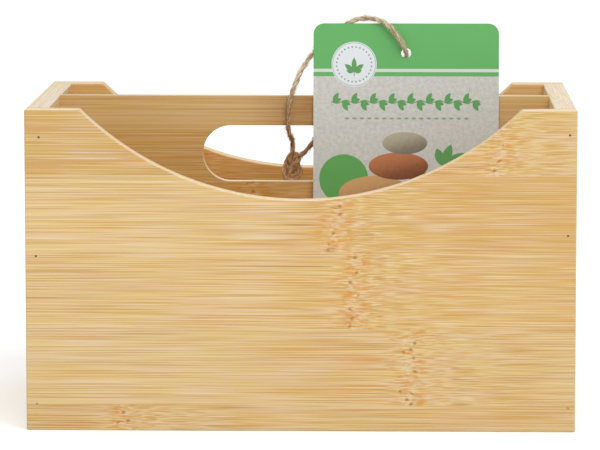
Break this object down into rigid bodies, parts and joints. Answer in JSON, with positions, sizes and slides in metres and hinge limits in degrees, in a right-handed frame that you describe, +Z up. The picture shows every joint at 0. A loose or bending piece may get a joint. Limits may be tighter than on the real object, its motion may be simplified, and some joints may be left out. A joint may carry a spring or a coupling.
{
  "type": "organizer box",
  "caption": "Open bamboo organizer box with scooped front and back, a slotted carrying board along the middle, a low cross divider and a paper hang tag on jute twine.",
  "frame": {"origin": "on the table, under the middle of the box's outside", "axes": "+X to the right along the scooped front, +Y from the front to the back, +Z up"},
  "size_m": [0.25, 0.15, 0.1844],
  "materials": {
    "bamboo_walls": "satin",
    "bamboo_dividers": "satin",
    "brad_steel": "satin",
    "tag_card": "matte",
    "jute_twine": "matte"
  },
  "bodies": {
    "box": {"front_panel": "bamboo_walls", "back_panel": "bamboo_walls", "left_end_panel": "bamboo_walls", "right_end_panel": "bamboo_walls", "floor_board": "bamboo_dividers", "centre_board": "bamboo_dividers", "cross_divider": "bamboo_dividers", "brad_front_left_low": "brad_steel", "brad_front_left_middle": "brad_steel", "brad_front_left_high": "brad_steel", "brad_front_right_low": "brad_steel", "brad_front_right_middle": "brad_steel", "brad_front_right_high": "brad_steel", "brad_back_left_low": "brad_steel", "brad_back_left_middle": "brad_steel", "brad_back_left_high": "brad_steel", "brad_back_right_low": "brad_steel", "brad_back_right_middle": "brad_steel", "brad_back_right_high": "brad_steel", "brad_centre_left_low": "brad_steel", "brad_centre_left_middle": "brad_steel", "brad_centre_left_high": "brad_steel", "brad_centre_right_low": "brad_steel", "brad_centre_right_middle": "brad_steel", "brad_centre_right_high": "brad_steel"},
    "twine_loop": {"tag_twine": "jute_twine", "twine_knot": "jute_twine"},
    "hang_tag": {"swing_tag": "tag_card"}
  },
  "joints": [
    {"name": "tag_slide", "type": "slide", "parent": "box", "child": "twine_loop", "axis": [1, 0, 0], "range_m": [-0.001, 0.023]},
    {"name": "tag_tilt", "type": "hinge", "parent": "twine_loop", "child": "hang_tag", "pos_m": [0.0479, -0.0116, 0.0093], "axis": [1, 0, 0], "range_deg": [0, 24], "deforming": ["tag_twine"]}
  ]
}
